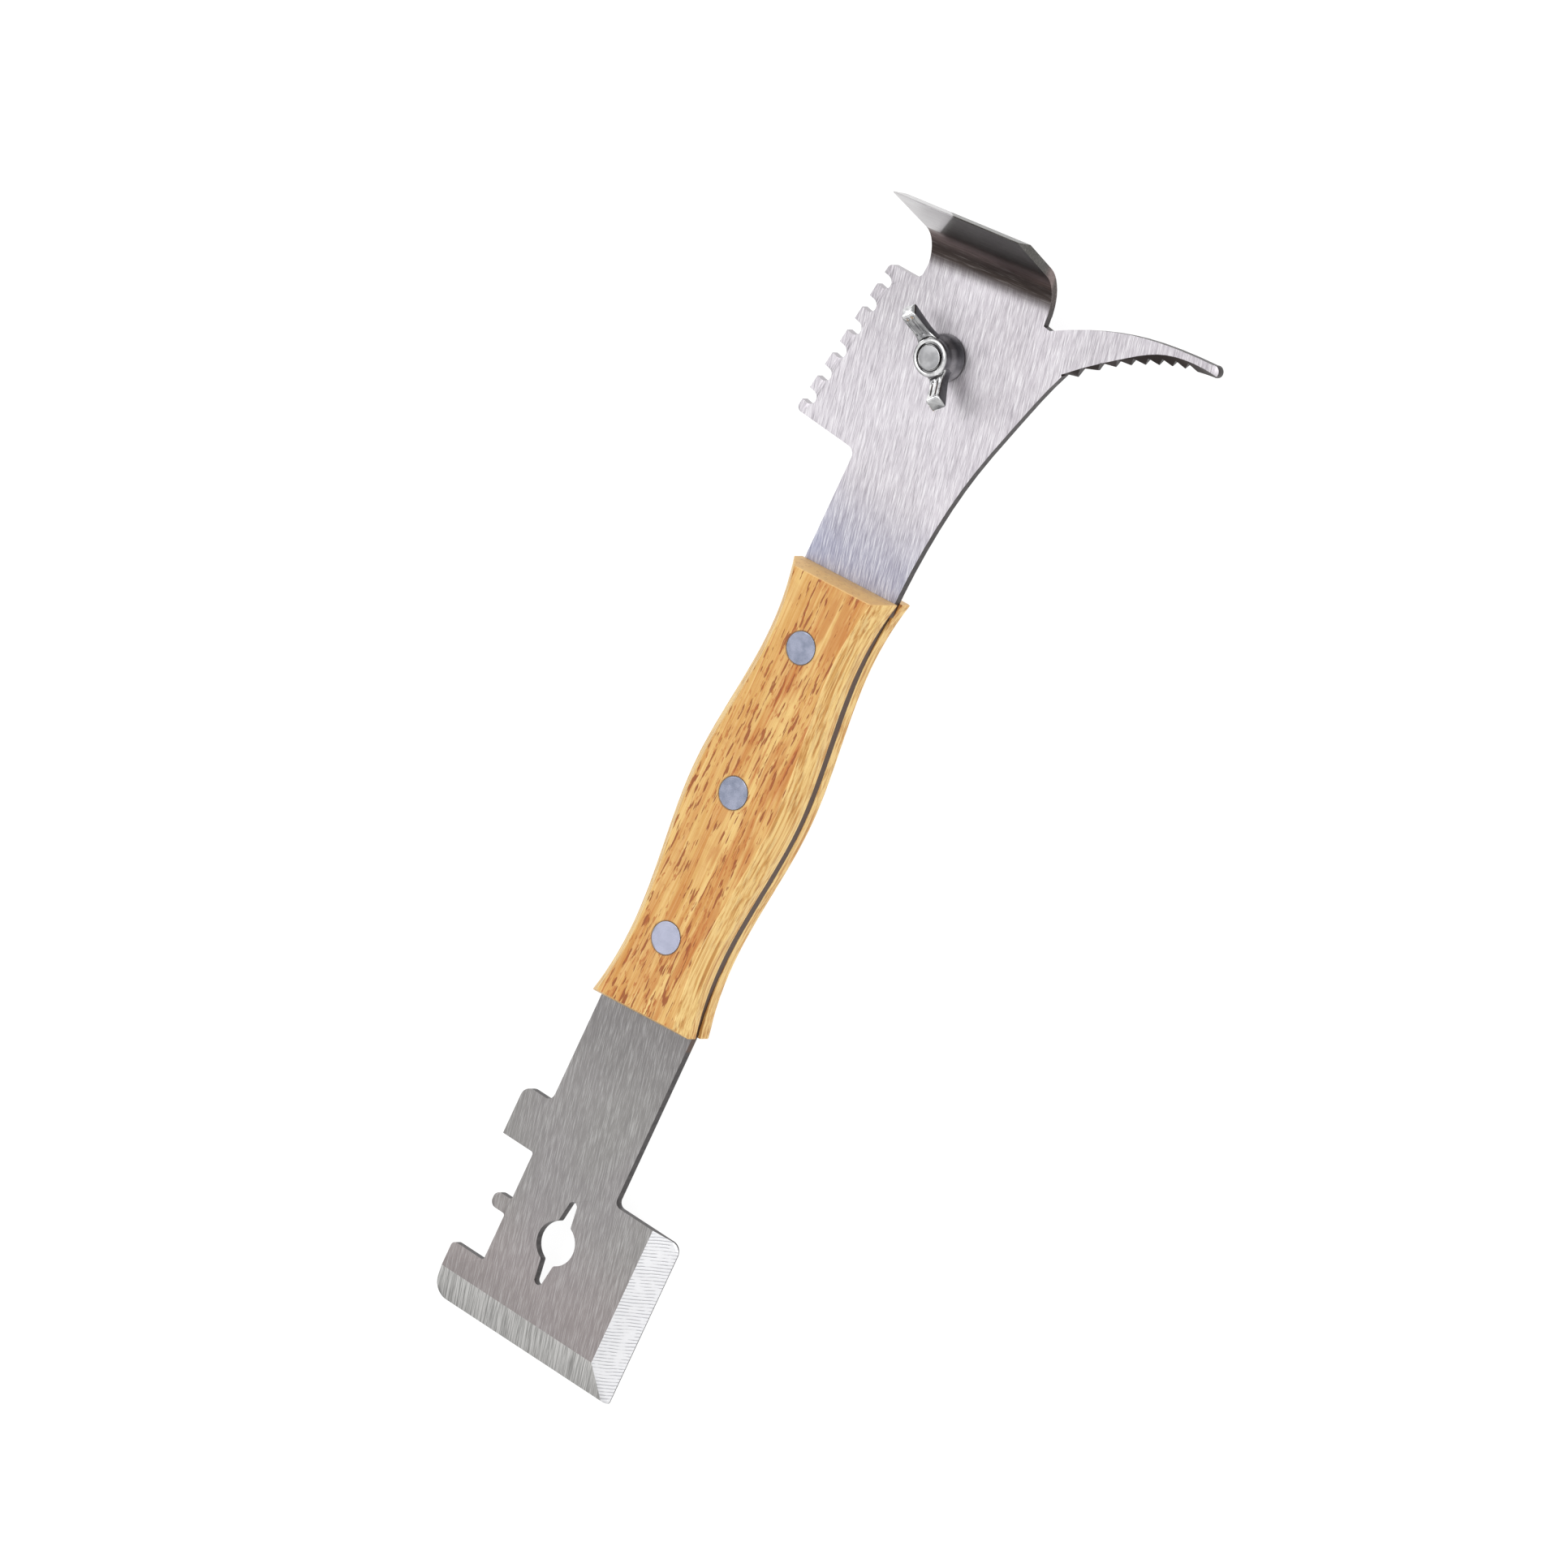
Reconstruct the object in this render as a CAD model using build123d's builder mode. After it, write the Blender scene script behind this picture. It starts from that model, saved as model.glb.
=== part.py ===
from build123d import *
import math
import os

os.makedirs("parts", exist_ok=True)

# Hive tool lying on the back of its handle. +X runs to the head, +Y to the notched side, +Z to the front.
# The origin is under the middle rivet, on the back face of the rear scale. Millimetres.

# Levels
SCALE_T = 7.0                       # one wooden scale
BLADE_T = 2.0                       # steel sheet
BLADE_Z = SCALE_T                   # rear face of the sheet
FRONT_Z = BLADE_Z + BLADE_T         # front face of the sheet
TOP_Z = FRONT_Z + SCALE_T           # front face of the handle

# Handle: both ends are cut at the same small slant
HEAD_END_X = 51.3                   # where the ends cross the centre line
TAIL_END_X = -53.5
END_SLANT = 0.085                   # shift along X per millimetre towards -Y
WAIST_X = 34.8
END_HALF = 13.1
WAIST_HALF = 11.0
BELLY_HALF = 13.9
TANG_INSET = 0.15                   # the steel sits just inside the wood
SIDE_WALL = 2.9                     # straight part of a scale's side, from the steel outwards
BEVEL_IN = 2.7                      # width of the long bevel, seen from the front
HEAD_END_BEVEL = 0.9
TAIL_END_BEVEL = 1.4
FACE_SHIFT = -0.5                   # the front scale's flat face is ground a little off centre

# Rivets
RIVET_XS = {"upper": 35.0, "middle": 0.0, "lower": -35.0}
RIVET_HEAD_R = 3.55
RIVET_HEAD_T = 1.5
TUBE_R = 2.4
STUD_R = 1.9
TUBE_TOP = 13.0
TUBE_FLOOR = 2.4
STUD_END = 2.8

# Tang and square scraper blade
TANG_HALF = 12.2
BLADE_END_X = -131.5
BLADE_LEFT = 19.7
BLADE_RIGHT = -30.3
STEP_X = -93.1
NOTCH_FLOOR = 11.0
NOTCHES = [(-119.2, -108.0), (-104.5, STEP_X)]
SMALL_TAB_Y = 15.3
UPPER_TAB_TOP = -81.4
END_BEVEL = 6.4                     # ground end, along X
SIDE_BEVEL = 7.1                    # ground side, along Y
END_LAND = 0.7                      # steel left at the ground end
SIDE_LAND = 0.25                    # steel left at the other ground edges

# Nail hole
NAIL_X = -107.3
NAIL_Y = -3.2
NAIL_R = 4.85
NAIL_SLOT_REACH = 9.9               # from the hole's centre to a slot's tip
NAIL_SLOT_ROOT = 3.55
NAIL_SLOT_TIP = 2.15
NAIL_SLOT_START = 0.9 * NAIL_R          # a slot's wide end, inside the round hole
NAIL_CORNER_R = 0.6

# Head
COMB_STEP_X = 76.1
COMB_CORNER = (76.8, 29.3)
COMB_END = (115.0, 23.4)
NECK_CORNER = (115.4, 15.2)
HORN_CORNER = (121.5, -16.5)
COMB_SLOTS = 6
COMB_PITCH = 6.05
COMB_FIRST_X = 80.9
COMB_SLOT_W = 3.0
COMB_SLOT_DEPTH = 2.9

# Upturned scraper: the sheet bends about a line that leans by BEND_SLANT from square
BEND_MID = (122.0, -0.4)
BEND_SLANT = math.radians(9.1)
BEND_ANGLE = math.radians(66)
BEND_R = 8.9                        # on the inner side
SCRAPER_FLAT = 18.3
SCRAPER_LEFT = 15.6                 # half widths of the neck along the bend line
SCRAPER_RIGHT = 16.0
BEND_OVERLAP = 1.0                  # how far the strip reaches back into the flat sheet
FLARE_LEFT = 0.4
FLARE_RIGHT = 1.0
SCRAPER_BEVEL = 5.1                 # on the outer side

# Horn: a smooth back, and a toothed inner edge that is ground on the front
HORN_BACK = [(121.3, -18.3), (127.1, -28.7), (130.7, -38.0), (133.5, -50.6), (134.4, -57.4)]
HORN_TIP = (133.7, -59.3)
HORN_INNER = [(131.8, -58.0), (130.9, -54.0), (128.8, -47.5), (125.8, -41.4), (122.0, -35.4),
              (115.7, -28.2)]      # through the points of the teeth
NECK_EDGE = [(115.1, -25.9), (108.0, -23.1), (100.9, -20.8), (84.2, -15.9), (69.0, -13.3),
             (49.0, -TANG_HALF)]
TEETH = 8
TOOTH_DEPTH = 1.35
TOOTH_LEAN = 0.4                    # where a gap is deepest, as a share of its width
TOOTH_SHARE = 0.78                  # share of the inner edge that has teeth
TOOTH_CROWDING = 0.82               # below 1, the teeth crowd towards the tip
GROUND_LOW_END = (132.2, -62.0)
GROUND_HIGH = [(114.6, -25.2), (118.9, -29.8), (124.8, -37.0), (130.0, -44.6), (132.3, -52.5),
               (132.6, -59.8)]      # where the grinding starts on the front face
GROUND_OUTSIDE = [(120.0, -64.0), (106.0, -34.0)]

# Rounded corners of the blade's outline: nearest place and radius
NOTCH_CORNER_R = 0.6
BLADE_CORNERS = [
    ((BLADE_END_X, BLADE_LEFT), 3.8),
    ((BLADE_END_X, BLADE_RIGHT), 0.8),
    ((STEP_X, BLADE_RIGHT), 2.4),
    ((STEP_X, -TANG_HALF), 1.6),
    ((NOTCHES[0][0], BLADE_LEFT), 1.1),
    ((UPPER_TAB_TOP, BLADE_LEFT), 2.4),
    ((UPPER_TAB_TOP, TANG_HALF), 1.8),
    ((NOTCHES[0][1], SMALL_TAB_Y), 1.5),
    ((NOTCHES[1][0], SMALL_TAB_Y), 1.5),
    *[((x, NOTCH_FLOOR), NOTCH_CORNER_R) for notch in NOTCHES for x in notch],
    ((COMB_STEP_X, TANG_HALF), 1.9),
    (COMB_CORNER, 1.2),
    (COMB_END, 1.4),
    (NECK_CORNER, 2.1),
    (HORN_BACK[0], 1.1),
]

# Clamp at the head: a short-necked carriage bolt and a wing nut
BOLT_X = 103.9
BOLT_Y = 1.9
BOLT_R = 3.0
NECK_SIDE = 6.2
NECK_PLAY = 0.1                     # how much wider the square hole is
NECK_TOP = FRONT_Z - 0.2
SEAT_GAP = 0.05                     # clearance between clamped faces
BOLT_HEAD_R = 6.8
BOLT_HEAD_T = 2.6
BOLT_HEAD_RIM = 0.6
BOLT_HEAD_TOP = BLADE_Z - SEAT_GAP
BOLT_END_DOME = 0.4
NUT_Z = FRONT_Z + SEAT_GAP
NUT_H = 6.2
NUT_BASE_R = 5.2
NUT_FLANGE_H = 0.9
NUT_TOP_R = 4.3
NUT_BORE_R = 3.05
BOLT_END_Z = NUT_Z + NUT_H
WING_FOOT = (4.4, 5.6)              # corners of a wing's side view: distance from the axis, height
WING_CREST = (9.3, 10.0)
WING_TIP = (11.8, 8.1)
WING_UNDER = (5.0, 3.2)
WING_T = 3.0
WING_ROOT_R = NUT_BORE_R + 0.4          # where a wing starts, inside the wall of the boss
WING_ROOT_Z = WING_UNDER[1] - 1.0
WING_TURN = math.radians(47.7)


def handle_face(inset, end_half, head_cut, tail_cut, shift):
    """Wavy outline of the handle, drawn inside the current sketch."""
    sides = []
    with BuildLine() as edge_line:
        for way in (1, -1):
            lean = -way * end_half * END_SLANT
            sides.append(Spline(
                (TAIL_END_X + tail_cut + lean, way * end_half + shift),
                (-WAIST_X, way * (WAIST_HALF - inset) + shift),
                (0, way * (BELLY_HALF - inset) + shift),
                (WAIST_X, way * (WAIST_HALF - inset) + shift),
                (HEAD_END_X - head_cut + lean, way * end_half + shift),
            ))
        Line(sides[0] @ 0, sides[1] @ 0)
        Line(sides[0] @ 1, sides[1] @ 1)
    make_face(edge_line.edges())


def lower_blade():
    """Square scraper blade with its notches, drawn inside the current sketch."""
    with Locations(((BLADE_END_X + STEP_X) / 2, (BLADE_LEFT + BLADE_RIGHT) / 2)):
        Rectangle(STEP_X - BLADE_END_X, BLADE_LEFT - BLADE_RIGHT)
    with Locations(((STEP_X + UPPER_TAB_TOP) / 2, BLADE_LEFT / 2)):
        Rectangle(UPPER_TAB_TOP - STEP_X, BLADE_LEFT)
    for low, high in NOTCHES:
        with Locations(((low + high) / 2, NOTCH_FLOOR + 10)):
            Rectangle(high - low, 20, mode=Mode.SUBTRACT)
    tab_low = NOTCHES[0][1]
    tab_high = NOTCHES[1][0]
    with Locations(((tab_low + tab_high) / 2, SMALL_TAB_Y + 10)):
        Rectangle(tab_high - tab_low + 1, 20, mode=Mode.SUBTRACT)


def bend_point(across):
    """Point of the bend line, measured from its middle towards the horn side."""
    return (
        BEND_MID[0] + math.sin(BEND_SLANT) * across,
        BEND_MID[1] - math.cos(BEND_SLANT) * across,
    )


def head():
    """Head with the comb's blank edge, the neck and the horn, drawn inside the current sketch."""
    with BuildLine() as edge_line:
        Polyline(
            NECK_EDGE[-1],
            (NECK_EDGE[-1][0], TANG_HALF),
            (COMB_STEP_X, TANG_HALF),
            COMB_CORNER,
            COMB_END,
            NECK_CORNER,
            bend_point(-SCRAPER_LEFT),
            bend_point(SCRAPER_RIGHT),
            HORN_CORNER,
            HORN_BACK[0],
        )
        Spline(HORN_BACK)
        ThreePointArc(HORN_BACK[-1], HORN_TIP, HORN_INNER[0])
        Spline(HORN_INNER)
        Line(HORN_INNER[-1], NECK_EDGE[0])
        Spline(NECK_EDGE)
    make_face(edge_line.edges())


def tooth_gaps():
    """V-shaped gaps between the horn's teeth, drawn inside the current sketch."""
    edge = Spline(HORN_INNER, mode=Mode.PRIVATE)

    def tooth_point(number):
        return edge @ (1 - TOOTH_SHARE * (number / (TEETH - 1)) ** TOOTH_CROWDING)

    for number in range(TEETH):
        near = tooth_point(number)
        far = tooth_point(number + 1)
        along = (far - near).normalized()
        inward = Vector(-along.Y, along.X)
        floor = near + (far - near) * TOOTH_LEAN + inward * TOOTH_DEPTH
        with BuildLine() as gap:
            Polyline(near, floor, far, near - inward * TOOTH_DEPTH, near)
        make_face(gap.edges(), mode=Mode.SUBTRACT)


def ground_edge(points):
    """Region outside a line of the horn's ground edge, drawn inside the current sketch."""
    with BuildLine() as edge_line:
        Spline(points)
        Polyline(points[-1], *GROUND_OUTSIDE, points[0])
    make_face(edge_line.edges())


def comb_slots():
    """U-shaped slots square to the slanted comb edge."""
    slope = (COMB_END[1] - COMB_CORNER[1]) / (COMB_END[0] - COMB_CORNER[0])
    lean = math.degrees(math.atan(slope))
    for number in range(COMB_SLOTS):
        x = COMB_FIRST_X + number * COMB_PITCH
        y = COMB_CORNER[1] + slope * (x - COMB_CORNER[0])
        with Locations((x, y)):
            SlotOverall(2 * COMB_SLOT_DEPTH, COMB_SLOT_W, rotation=lean + 90, mode=Mode.SUBTRACT)


def nail_hole():
    """Round hole with a tapered slot on each side, their meeting corners eased."""
    tip = NAIL_SLOT_REACH - NAIL_SLOT_TIP / 2
    with BuildSketch(mode=Mode.PRIVATE) as hole:
        with Locations((NAIL_X, NAIL_Y)):
            Circle(NAIL_R)
        for way in (1, -1):
            with BuildSketch(mode=Mode.PRIVATE) as slot:
                with Locations((NAIL_X + way * NAIL_SLOT_START, NAIL_Y)):
                    Rectangle(0.1, NAIL_SLOT_ROOT)
                with Locations((NAIL_X + way * tip, NAIL_Y)):
                    Circle(NAIL_SLOT_TIP / 2)
                make_hull()
            add(slot.sketch)
        meeting = hole.vertices().sort_by_distance((NAIL_X, NAIL_Y, 0))[:4]
        fillet(meeting, NAIL_CORNER_R)
    add(hole.sketch, mode=Mode.SUBTRACT)


def round_corner(sketch, place, radius):
    """Fillet the sketch's corner nearest to a place."""
    corner = sketch.vertices().sort_by_distance(Vector(place[0], place[1]))[0]
    fillet(corner, radius)


def scraper_profile():
    """Side view of the bent strip, drawn inside the current sketch: x forward, y to the front."""
    cos_bend = math.cos(BEND_ANGLE)
    sin_bend = math.sin(BEND_ANGLE)
    back = BEND_OVERLAP

    def on_arc(radius, share):
        angle = BEND_ANGLE * share
        return (radius * math.sin(angle), BEND_R - radius * math.cos(angle))

    def on_flat(radius, length):
        start = on_arc(radius, 1)
        return (start[0] + length * cos_bend, start[1] + length * sin_bend)

    outer_r = BEND_R + BLADE_T
    with BuildLine() as edge_line:
        Line((-back, 0), (0, 0))
        ThreePointArc(on_arc(BEND_R, 0), on_arc(BEND_R, 0.5), on_arc(BEND_R, 1))
        Polyline(
            on_flat(BEND_R, 0),
            on_flat(BEND_R, SCRAPER_FLAT),
            on_flat(BEND_R + SIDE_LAND, SCRAPER_FLAT),
            on_flat(outer_r, SCRAPER_FLAT - SCRAPER_BEVEL),
            on_flat(outer_r, 0),
        )
        ThreePointArc(on_arc(outer_r, 1), on_arc(outer_r, 0.5), on_arc(outer_r, 0))
        Polyline((0, -BLADE_T), (-back, -BLADE_T), (-back, 0))
    make_face(edge_line.edges())


def scraper_width():
    """Front view of the strip, drawn inside the current sketch: x towards the horn side, y up."""
    top = BEND_R * (1 - math.cos(BEND_ANGLE)) + SCRAPER_FLAT * math.sin(BEND_ANGLE) + 1
    with BuildLine() as edge_line:
        Polyline(
            (-SCRAPER_LEFT, -2 * BLADE_T),
            (SCRAPER_RIGHT, -2 * BLADE_T),
            (SCRAPER_RIGHT, 0),
            (SCRAPER_RIGHT + FLARE_RIGHT, top),
            (-SCRAPER_LEFT - FLARE_LEFT, top),
            (-SCRAPER_LEFT, 0),
            (-SCRAPER_LEFT, -2 * BLADE_T),
        )
    make_face(edge_line.edges())


def grind_profile(edge, width, land):
    """Wedge ground off the front of the sheet at an edge, drawn inside the current sketch."""
    with BuildLine() as edge_line:
        Polyline(
            (edge, BLADE_Z + land),
            (edge + width, FRONT_Z),
            (edge, FRONT_Z + 1),
            (edge - 2, FRONT_Z + 1),
            (edge - 2, BLADE_Z + land),
            (edge, BLADE_Z + land),
        )
    make_face(edge_line.edges())


def save(piece, name):
    """Label a finished piece and write its STEP file."""
    piece.part.label = name
    export_step(piece.part, f"parts/{name}.step")


FORWARD = (math.cos(BEND_SLANT), math.sin(BEND_SLANT), 0)
BACKWARD = (-math.cos(BEND_SLANT), -math.sin(BEND_SLANT), 0)
ACROSS = (math.sin(BEND_SLANT), -math.cos(BEND_SLANT), 0)
BEND_ORIGIN = (BEND_MID[0], BEND_MID[1], FRONT_Z)


# Upturned scraper, made as a part of its own and joined to the blade below
with BuildPart() as scraper:
    with BuildSketch(Plane(origin=BEND_ORIGIN, x_dir=FORWARD, z_dir=ACROSS)):
        scraper_profile()
    extrude(amount=2 * SCRAPER_RIGHT, both=True)
    with BuildSketch(Plane(origin=BEND_ORIGIN, x_dir=ACROSS, z_dir=BACKWARD)):
        scraper_width()
    extrude(amount=60, both=True, mode=Mode.INTERSECT)


with BuildPart() as horn_grind:
    with BuildSketch(Plane.XY.offset(BLADE_Z + SIDE_LAND)):
        ground_edge([NECK_EDGE[0], *HORN_INNER[:0:-1], GROUND_LOW_END])
    with BuildSketch(Plane.XY.offset(FRONT_Z)):
        ground_edge(GROUND_HIGH)
    loft(ruled=True)


with BuildPart() as blade:
    with BuildSketch(Plane.XY.offset(BLADE_Z)) as outline:
        handle_face(TANG_INSET, TANG_HALF, 0, 0, 0)
        with Locations(((STEP_X + TAIL_END_X) / 2, 0)):
            Rectangle(TAIL_END_X - STEP_X + 4, 2 * TANG_HALF)
        lower_blade()
        head()
        tooth_gaps()
        comb_slots()
        nail_hole()
        for place, radius in BLADE_CORNERS:
            round_corner(outline, place, radius)
        with Locations((BOLT_X, BOLT_Y)):
            Rectangle(NECK_SIDE + NECK_PLAY, NECK_SIDE + NECK_PLAY, mode=Mode.SUBTRACT)
        with Locations(*[(x, 0) for x in RIVET_XS.values()]):
            Circle(TUBE_R, mode=Mode.SUBTRACT)
    extrude(amount=BLADE_T)
    # ground end
    with BuildSketch(Plane.XZ.offset(-BLADE_LEFT - 5)):
        grind_profile(BLADE_END_X, END_BEVEL, END_LAND)
    extrude(amount=BLADE_LEFT - BLADE_RIGHT + 10, mode=Mode.SUBTRACT)
    # ground side
    with BuildSketch(Plane.YZ.offset(BLADE_END_X - 5)):
        grind_profile(BLADE_RIGHT, SIDE_BEVEL, SIDE_LAND)
    extrude(amount=STEP_X - BLADE_END_X + 10, mode=Mode.SUBTRACT)
    add(horn_grind.part, mode=Mode.SUBTRACT)
    add(scraper.part)
save(blade, "blade")


def wooden_scale(inner_face, face_shift):
    """One scale, grown outwards from its plane at the steel."""
    with BuildPart() as scale:
        with BuildSketch(inner_face):
            handle_face(0, END_HALF, 0, 0, 0)
        extrude(amount=SIDE_WALL)
        with BuildSketch(inner_face.offset(SIDE_WALL)):
            handle_face(0, END_HALF, 0, 0, 0)
        with BuildSketch(inner_face.offset(SCALE_T)):
            handle_face(BEVEL_IN, END_HALF - BEVEL_IN, HEAD_END_BEVEL, TAIL_END_BEVEL, face_shift)
        loft()
        with BuildSketch(inner_face):
            with Locations(*[(x, 0) for x in RIVET_XS.values()]):
                Circle(TUBE_R)
        extrude(amount=SCALE_T, mode=Mode.SUBTRACT)
        with BuildSketch(inner_face.offset(SCALE_T)):
            with Locations(*[(x, 0) for x in RIVET_XS.values()]):
                Circle(RIVET_HEAD_R)
        extrude(amount=-RIVET_HEAD_T, mode=Mode.SUBTRACT)
    return scale


front_scale = wooden_scale(Plane.XY.offset(FRONT_Z), FACE_SHIFT)
save(front_scale, "front_scale")

# the mirrored outline of the front scale, so that both lean the same way
with BuildPart() as rear_scale:
    add(wooden_scale(Plane.XY.offset(FRONT_Z), 0).part.mirror(Plane.XY.offset(FRONT_Z - BLADE_T / 2)))
save(rear_scale, "rear_scale")


# Two-piece handle rivets: a headed tube from behind and a headed stud pressed in from the front
for place, x in RIVET_XS.items():
    with BuildPart() as tube:
        with BuildSketch(Plane((x, 0, 0))):
            Circle(RIVET_HEAD_R)
        extrude(amount=RIVET_HEAD_T)
        with BuildSketch(Plane((x, 0, 0))):
            Circle(TUBE_R)
        extrude(amount=TUBE_TOP)
        with BuildSketch(Plane((x, 0, TUBE_FLOOR))):
            Circle(STUD_R)
        extrude(amount=TUBE_TOP, mode=Mode.SUBTRACT)
    save(tube, f"{place}_rivet_tube")

    with BuildPart() as stud:
        with BuildSketch(Plane((x, 0, TOP_Z))):
            Circle(RIVET_HEAD_R)
        extrude(amount=-RIVET_HEAD_T)
        with BuildSketch(Plane((x, 0, STUD_END))):
            Circle(STUD_R)
        extrude(amount=TOP_Z - STUD_END)
    save(stud, f"{place}_rivet_stud")


with BuildPart() as carriage_bolt:
    with BuildSketch(Plane(origin=(BOLT_X, BOLT_Y, 0), x_dir=(1, 0, 0), z_dir=(0, -1, 0))):
        bottom = BOLT_HEAD_TOP - BOLT_HEAD_T
        rim = BOLT_HEAD_TOP - BOLT_HEAD_RIM
        shoulder = BOLT_END_Z - BOLT_END_DOME
        with BuildLine():
            Polyline(
                (0, bottom),
                (0, BOLT_END_Z),
                (BOLT_R - BOLT_END_DOME, BOLT_END_Z),
                (BOLT_R, shoulder),
                (BOLT_R, BOLT_HEAD_TOP),
                (BOLT_HEAD_R, BOLT_HEAD_TOP),
                (BOLT_HEAD_R, rim),
            )
            TangentArc((0, bottom), (BOLT_HEAD_R, rim), tangent=(1, 0))
        make_face()
    revolve(axis=Axis((BOLT_X, BOLT_Y, 0), (0, 0, 1)))
    with BuildSketch(Plane((BOLT_X, BOLT_Y, BOLT_HEAD_TOP))):
        Rectangle(NECK_SIDE, NECK_SIDE)
    extrude(amount=NECK_TOP - BOLT_HEAD_TOP)
save(carriage_bolt, "carriage_bolt")


def wing_face():
    """Side view of one wing, drawn inside the current sketch: x outwards, y up."""
    with BuildLine() as edge_line:
        Polyline(
            (WING_ROOT_R, WING_ROOT_Z),
            WING_UNDER,
            WING_TIP,
            WING_CREST,
            WING_FOOT,
            (WING_ROOT_R, WING_FOOT[1]),
            (WING_ROOT_R, WING_ROOT_Z),
        )
    make_face(edge_line.edges())


with BuildPart() as wing_nut:
    with BuildSketch(Plane(origin=(BOLT_X, BOLT_Y, NUT_Z), x_dir=(1, 0, 0), z_dir=(0, -1, 0))):
        with BuildLine():
            Polyline(
                (0, 0),
                (NUT_BASE_R, 0),
                (NUT_BASE_R, NUT_FLANGE_H),
                (NUT_TOP_R, NUT_H),
                (0, NUT_H),
                (0, 0),
            )
        make_face()
    revolve(axis=Axis((BOLT_X, BOLT_Y, 0), (0, 0, 1)))
    along_wing = (math.cos(WING_TURN), math.sin(WING_TURN), 0)
    across_wing = (math.sin(WING_TURN), -math.cos(WING_TURN), 0)
    with BuildSketch(Plane(origin=(BOLT_X, BOLT_Y, NUT_Z), x_dir=along_wing, z_dir=across_wing)):
        wing_face()
        mirror(about=Plane.YZ)
    extrude(amount=WING_T / 2, both=True)
    with BuildSketch(Plane((BOLT_X, BOLT_Y, NUT_Z - 1))):
        Circle(NUT_BORE_R)
    extrude(amount=3 * NUT_H, mode=Mode.SUBTRACT)
save(wing_nut, "wing_nut")
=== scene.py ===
import math

import bmesh
import bpy
from mathutils import Matrix, Vector


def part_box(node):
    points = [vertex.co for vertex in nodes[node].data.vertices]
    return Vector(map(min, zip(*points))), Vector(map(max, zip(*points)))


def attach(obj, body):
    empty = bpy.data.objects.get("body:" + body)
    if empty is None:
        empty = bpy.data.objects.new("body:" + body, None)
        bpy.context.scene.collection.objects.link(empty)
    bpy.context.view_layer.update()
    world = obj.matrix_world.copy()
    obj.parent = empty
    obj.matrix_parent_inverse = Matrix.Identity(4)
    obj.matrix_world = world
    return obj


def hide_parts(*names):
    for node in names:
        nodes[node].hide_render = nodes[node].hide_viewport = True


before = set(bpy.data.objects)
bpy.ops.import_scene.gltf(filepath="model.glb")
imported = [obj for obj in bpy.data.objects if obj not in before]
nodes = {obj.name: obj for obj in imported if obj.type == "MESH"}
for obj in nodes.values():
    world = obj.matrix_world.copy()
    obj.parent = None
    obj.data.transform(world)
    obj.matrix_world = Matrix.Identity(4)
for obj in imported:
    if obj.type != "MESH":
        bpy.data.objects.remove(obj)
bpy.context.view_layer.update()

MM = 0.001
CAD_WELD_GAP = 1e-6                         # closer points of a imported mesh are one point
WELD_GAP = 2e-6                             # the same, for the meshes made here


# ---------------------------------------------------------------- shader helpers

def linear(red, green, blue):
    """An sRGB colour of 0 to 255 as the linear colour that a shader takes."""
    def channel(value):
        value = value / 255
        if value <= 0.04045:
            return value / 12.92
        return ((value + 0.055) / 1.055) ** 2.4
    return (channel(red), channel(green), channel(blue), 1.0)


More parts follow.
